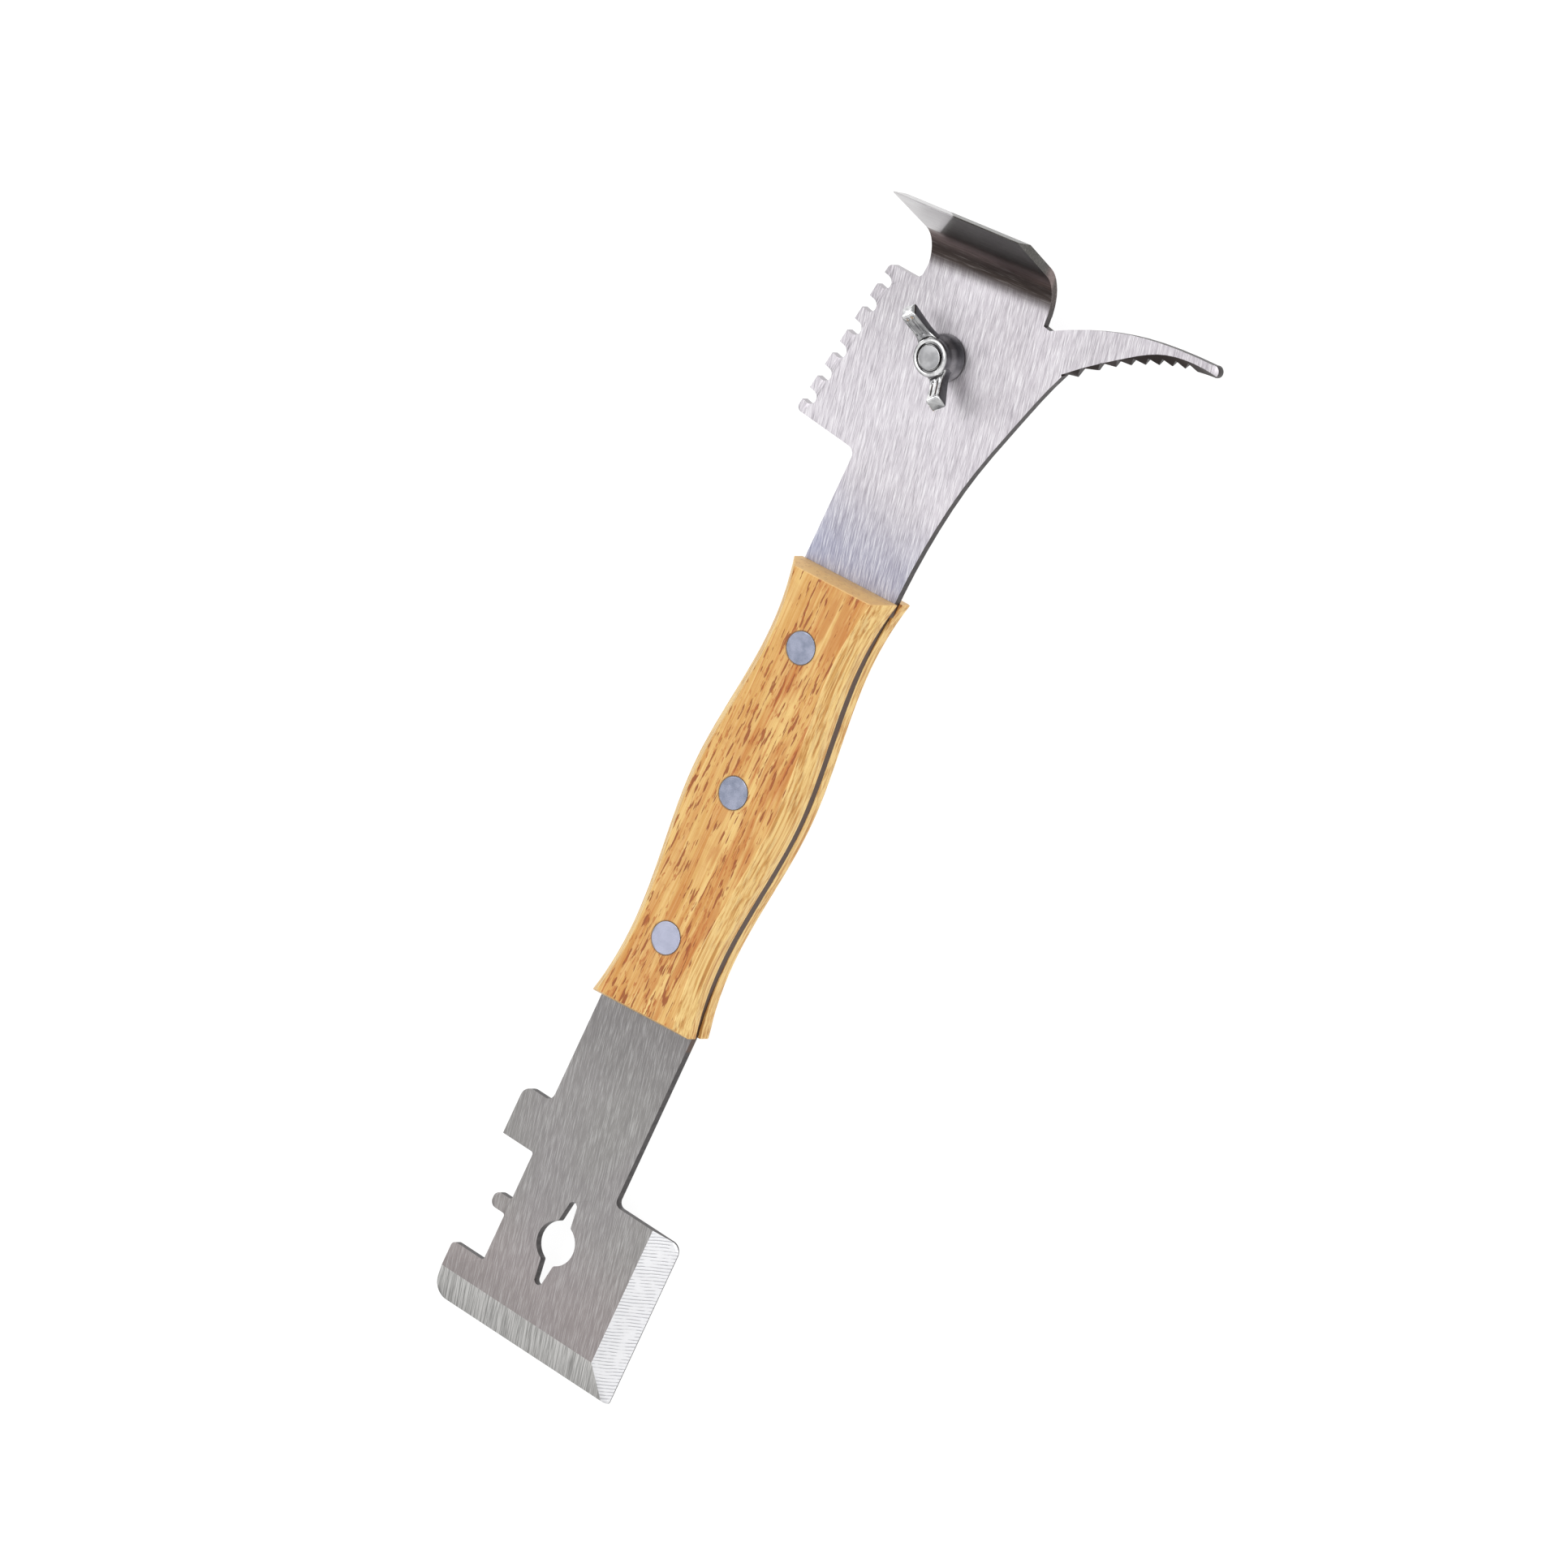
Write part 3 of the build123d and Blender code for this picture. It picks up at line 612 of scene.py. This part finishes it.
GROOVE_DEPTH = 0.24
GROOVE_START = 0.2
GROOVE_FADE_IN = 0.1
GROOVE_END = 0.93
GROOVE_FADE_OUT = 0.06
GROOVE_SPAN = 0.88                          # half the flat, in the unit of the places below
# Places across the upper face, each with 0 for the face itself or 1 for a groove's bottom.
GROOVES = ((0.80, 0), (0.68, 1), (0.42, 1), (0.28, 0), (-0.02, 0), (-0.12, 1), (-0.42, 1), (-0.60, 0))


def clamped(value):
    """A value held between 0 and 1."""
    return min(1.0, max(0.0, value))


def thread_row(height, root, crest):
    """One row of a right-hand thread: flat roots, sloped flanks, narrow crests."""
    def place(turn):
        phase = (height / PITCH - turn / (2 * math.pi)) % 1.0
        ridge = 1 - abs(2 * phase - 1)
        share = clamped((ridge - THREAD_FLAT) / THREAD_FLANK)
        return root + (crest - root) * share, height
    return place


def revolve_rows(rows):
    """Rings of a turned shape. A row is (radius, height) or a function of the angle that gives both."""
    mesh = bmesh.new()
    rings = []
    for row in rows:
        ring = []
        for step in range(TURN_STEPS):
            turn = 2 * math.pi * step / TURN_STEPS
            radius, height = row(turn) if callable(row) else row
            ring.append(mesh.verts.new((radius * math.cos(turn), radius * math.sin(turn), height)))
        rings.append(ring)
    return mesh, rings


def rounded_corner(quarter, half_wide, half_high, radius):
    """Points round one corner of a rectangle. Half sizes are to the corner's own centre."""
    side = 1 if quarter in (0, 3) else -1
    rise = 1 if quarter in (0, 1) else -1
    points = []
    for step in range(CORNER_STEPS + 1):
        angle = math.pi / 2 * (quarter + step / CORNER_STEPS)
        across = side * half_wide + radius * math.cos(angle)
        up = rise * half_high + radius * math.sin(angle)
        points.append((across, up))
    return points


def join_rings(mesh, first, second):
    """Quads between two rings."""
    count = len(first)
    for step in range(count):
        following = (step + 1) % count
        mesh.faces.new((first[step], first[following], second[following], second[step]))


def cap(mesh, ring):
    """Close a ring with a fan round its middle."""
    middle = mesh.verts.new(sum((vert.co for vert in ring), Vector()) / len(ring))
    for step, vert in enumerate(ring):
        mesh.faces.new((middle, vert, ring[(step + 1) % len(ring)]))


def skin(mesh, rings, looped=False):
    """Close a set of rings: by a fan at each end, or, if looped, from the last ring to the first."""
    for first, second in zip(rings, rings[1:]):
        join_rings(mesh, first, second)
    if looped:
        join_rings(mesh, rings[-1], rings[0])
    else:
        cap(mesh, rings[0])
        cap(mesh, rings[-1])


def link_piece(name, data):
    """An object of a mesh, put in the scene."""
    piece = bpy.data.objects.new(name, data)
    bpy.context.scene.collection.objects.link(piece)
    return piece


def make_piece(name, mesh):
    """Turn a mesh drawn in millimetres round the clamp's axis into an object in the row frame."""
    bmesh.ops.recalc_face_normals(mesh, faces=mesh.faces)
    bmesh.ops.scale(mesh, vec=(MM, MM, MM), verts=mesh.verts)
    bmesh.ops.translate(mesh, vec=(AXIS_X, AXIS_Y, 0), verts=mesh.verts)
    for face in mesh.faces:
        face.smooth = True
    for edge in mesh.edges:
        if len(edge.link_faces) == 2 and edge.calc_face_angle() > SMOOTH_ANGLE:
            edge.smooth = False
    data = bpy.data.meshes.new(name)
    mesh.to_mesh(data)
    mesh.free()
    return link_piece(name, data)


def bolt_shank():
    """Threaded shank from inside the square neck to the cut end."""
    rows = [(BOLT_ROOT, FRONT - SHANK_IN_NECK)]
    count = round((BOLT_TOP - SHANK_PLAIN_END - FRONT) / PITCH * PITCH_STEPS)
    for step in range(count + 1):
        runout = min(1.0, step / PITCH_STEPS)
        crest = BOLT_ROOT + (BOLT_CREST - BOLT_ROOT) * runout
        rows.append(thread_row(FRONT + step * PITCH / PITCH_STEPS, BOLT_ROOT, crest))
    rows += [(BOLT_ROOT - inset, BOLT_TOP - depth) for inset, depth in TIP_ROWS]
    rows.append((BOLT_ROOT * 0.5, BOLT_TOP))
    mesh, rings = revolve_rows(rows)
    skin(mesh, rings)
    return make_piece("bolt_shank", mesh)


def bolt_head():
    """Low dome under the blade with a rolled rim and a shallow dimple from the heading tool."""
    top = BACK - HEAD_GAP
    dome = top - HEAD_RIM - BOLT_BOTTOM
    rows = [(HEAD_RADIUS * share, BOLT_BOTTOM + depth) for share, depth in DIMPLE_ROWS]
    for step in range(1, DOME_STEPS + 1):
        lean = math.radians(DOME_START + (90 - DOME_START) * step / DOME_STEPS)
        rows.append((HEAD_RADIUS * math.sin(lean), BOLT_BOTTOM + dome * (1 - math.cos(lean))))
    rows += [(HEAD_RADIUS - inset, top - depth) for inset, depth in HEAD_RIM_ROWS]
    rows.append((HEAD_RADIUS * 0.5, top))
    mesh, rings = revolve_rows(rows)
    skin(mesh, rings)
    return make_piece("bolt_head", mesh)


def bolt_neck():
    """Square neck that keeps the bolt from turning, with rounded corners and a broken top edge."""
    high = FRONT - NECK_SUNK
    centre = NECK_HALF - NECK_CORNER
    rows = [(0, BACK - NECK_IN_HEAD)]
    rows += [(inset, high - depth) for inset, depth in NECK_TOP_ROWS]
    mesh = bmesh.new()
    rings = []
    for inset, height in rows:
        ring = []
        for quarter in range(4):
            for across, up in rounded_corner(quarter, centre, centre, NECK_CORNER - inset):
                ring.append(mesh.verts.new((across, up, height)))
        rings.append(ring)
    skin(mesh, rings)
    return make_piece("bolt_neck", mesh)


def nut_boss():
    """Cast boss: broad rounded foot, narrower collar with a rolled rim, and a tapped hole."""
    rows = [(radius, NUT_FOOT + rise) for radius, rise in BOSS_FOOT + BOSS_COLLAR]
    first = NUT_FOOT + TAPPED_FROM
    last = BOLT_TOP - TAPPED_TO
    count = int((last - first) / PITCH * PITCH_STEPS)
    for step in range(count + 1):
        height = last - step * PITCH / PITCH_STEPS
        rows.append(thread_row(height, BOLT_ROOT + THREAD_GAP, BOLT_CREST + THREAD_GAP))
    rows += [(radius, NUT_FOOT + rise) for radius, rise in HOLE_MOUTH]
    mesh, rings = revolve_rows(rows)
    skin(mesh, rings, looped=True)
    return make_piece("nut_boss", mesh)


def wing_section(share):
    """Upper and lower end of a wing's depth at one share of its length, as (outwards, up)."""
    upper, lower = (root.lerp(tip, share) for root, tip in zip(WING_ROOT, WING_TIP))
    upper.y += WING_FILLET * max(0.0, 1 - share / WING_FILLET_END) ** 2
    return upper, lower


def wing_outline(share, inset, reach):
    """Outline across a wing: rounded corners, with two grooves along its upper side."""
    half = WING_HALF + WING_FLARE * max(0.0, 1 - share / WING_FLARE_END) ** 2 - inset
    radius = min(WING_EDGE, half * 0.5)
    flat = half - radius
    fade_in = clamped((share - GROOVE_START) / GROOVE_FADE_IN)
    fade_out = clamped((GROOVE_END - share) / GROOVE_FADE_OUT)
    groove = GROOVE_DEPTH * fade_in * fade_out
    outline = rounded_corner(0, flat, reach - radius, radius)
    for place, deep in GROOVES:
        outline.append((place * flat / GROOVE_SPAN, reach - deep * groove))
    for quarter in (1, 2, 3):
        outline += rounded_corner(quarter, flat, reach - radius, radius)
    return outline


def wing(turn):
    """One cast wing: rounded bar with two grooves along its upper face and a flat slanted end."""
    rows = [(share, 0) for share in WING_STATIONS]
    rows += WING_END_ROWS
    mesh = bmesh.new()
    rings = []
    for share, inset in rows:
        upper, lower = wing_section(share)
        depth = upper - lower
        along = depth.normalized()
        middle = (upper + lower) / 2
        ring = []
        for out, climb in wing_outline(share, inset, depth.length / 2 - inset):
            point = middle + along * climb
            x = point.x * math.cos(turn) - out * math.sin(turn)
            y = point.x * math.sin(turn) + out * math.cos(turn)
            ring.append(mesh.verts.new((x, y, NUT_FOOT + point.y)))
        rings.append(ring)
    skin(mesh, rings)
    return make_piece("wing", mesh)


def clean_mesh(data):
    """Join points that are as good as one, and drop what is left with no face."""
    mesh = bmesh.new()
    mesh.from_mesh(data)
    bmesh.ops.remove_doubles(mesh, verts=mesh.verts, dist=WELD_GAP)
    bmesh.ops.dissolve_degenerate(mesh, edges=mesh.edges, dist=WELD_GAP)
    loose = [vert for vert in mesh.verts if not vert.link_faces]
    bmesh.ops.delete(mesh, geom=loose, context="VERTS")
    mesh.to_mesh(data)
    mesh.free()


def fuse(name, base, others):
    """One closed piece of a base and the solids that run into it."""
    for other in others:
        union = base.modifiers.new("union", "BOOLEAN")
        union.operation = "UNION"
        union.solver = "EXACT"
        union.object = other
    bpy.context.view_layer.update()
    solid = base.evaluated_get(bpy.context.evaluated_depsgraph_get())
    data = bpy.data.meshes.new_from_object(solid)
    data.name = name
    clean_mesh(data)
    for used in [base, *others]:
        bpy.data.objects.remove(used)
    return link_piece(name, data)


def clamp_piece(piece, node, body):
    """Let a zinc piece stand in for its CAD node and move with its body."""
    dress(piece, zinc_look)
    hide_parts(node)
    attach(piece, body)


nut_piece = fuse("wing_nut_cast", nut_boss(), [wing(WING_TURN), wing(WING_TURN + math.pi)])
clamp_piece(nut_piece, "wing_nut", "nut")
bolt_piece = fuse("carriage_bolt_threaded", bolt_neck(), [bolt_head(), bolt_shank()])
clamp_piece(bolt_piece, "carriage_bolt", "bolt")


# ---------------------------------------------------------------- studio

PHOTO_SIDE = 1932                           # pixels
PIXELS_PER_MM = 5.82
CAMERA_DISTANCE = 12.0
SENSOR = 36.0
ABOUT_RIGHT = Vector((0.4081, -0.7423, -0.5315)).normalized()   # not quite square to VIEW_UP
VIEW_UP = Vector((0.8763, 0.4818, 0.0)).normalized()
VIEW_BACK = ABOUT_RIGHT.cross(VIEW_UP).normalized()
VIEW_RIGHT = VIEW_UP.cross(VIEW_BACK).normalized()
VIEW_CENTRE = Vector((4.56, -4.30, 5.26)) * MM

FLOOR_HALF = 4.0
FLOOR_HEIGHT = -0.0002
FLOOR_GLOW = 0.90
WALL_COLOUR = (0.14, 0.14, 0.145, 1)
CEILING_COLOUR = (1, 1, 1, 1)
CEILING_START = 0.75                        # upward part of a direction
SKY_STRENGTH = 0.95

LIGHT_DISTANCE = 1.6
LIGHTS = (                                  # name, direction, size in metres, power in watts
    ("key", (0.2, 0.3, 1.0), 0.95, 6.4),
    ("fill", (0.1, -1.0, 0.9), 1.0, 8.0),
    ("side", (0.2, 1.0, 0.22), 0.7, 3.0),
)


def studio_camera():
    """The photo's view, from far away with a long lens."""
    data = bpy.data.cameras.new("camera")
    data.sensor_width = SENSOR
    frame_side = PHOTO_SIDE / PIXELS_PER_MM * MM
    data.lens = CAMERA_DISTANCE * SENSOR / frame_side
    data.clip_end = 2 * CAMERA_DISTANCE
    camera = link_piece("camera", data)
    turn = Matrix((VIEW_RIGHT, VIEW_UP, VIEW_BACK)).transposed()
    camera.matrix_world = Matrix.Translation(VIEW_CENTRE + VIEW_BACK * CAMERA_DISTANCE) @ turn.to_4x4()
    bpy.context.scene.camera = camera


def glowing_white():
    """Matt and pale, and glows a little, so that what lies on it casts only faint shadows."""
    s = Shader("floor")
    cloud = s.noise(s.stretched((4, 4, 4)), 2.0)
    s.surface.inputs["Specular IOR Level"].default_value = 0.0
    s.surface.inputs["Emission Color"].default_value = (1, 1, 1, 1)
    s.surface.inputs["Emission Strength"].default_value = FLOOR_GLOW
    return s.finish(s.mix(cloud, linear(120, 120, 120), linear(124, 124, 124)), 0.9)


def floor():
    """A large table top just under the tool."""
    data = bpy.data.meshes.new("floor")
    corners = []
    for side, end in ((-1, -1), (1, -1), (1, 1), (-1, 1)):
        corners.append((side * FLOOR_HALF, end * FLOOR_HALF, FLOOR_HEIGHT))
    data.from_pydata(corners, [], [(0, 1, 2, 3)])
    piece = dress(link_piece("floor", data), glowing_white())


def area_light(name, direction, size, power):
    """A round light that faces the tool from one direction."""
    data = bpy.data.lights.new(name, "AREA")
    data.shape = "DISK"
    data.size = size
    data.energy = power
    light = link_piece(name, data)
    light.location = Vector(direction).normalized() * LIGHT_DISTANCE
    light.rotation_euler = Vector(direction).to_track_quat("Z", "Y").to_euler()


def sky():
    """A white ceiling that falls off to grey walls."""
    world = bpy.data.worlds.new("studio")
    world.use_nodes = True
    tree = world.node_tree
    background = tree.nodes["Background"]
    place = tree.nodes.new("ShaderNodeTexCoord")
    axes = tree.nodes.new("ShaderNodeSeparateXYZ")
    ramp = tree.nodes.new("ShaderNodeValToRGB")
    tree.links.new(place.outputs["Generated"], axes.inputs[0])
    tree.links.new(axes.outputs["Z"], ramp.inputs[0])
    tree.links.new(ramp.outputs[0], background.inputs["Color"])
    wall, ceiling = ramp.color_ramp.elements
    wall.position = 0.0
    wall.color = WALL_COLOUR
    ceiling.position = CEILING_START
    ceiling.color = CEILING_COLOUR
    background.inputs["Strength"].default_value = SKY_STRENGTH
    bpy.context.scene.world = world


studio_camera()
floor()
sky()
for light in LIGHTS:
    area_light(*light)
bpy.context.scene.view_settings.view_transform = "Standard"
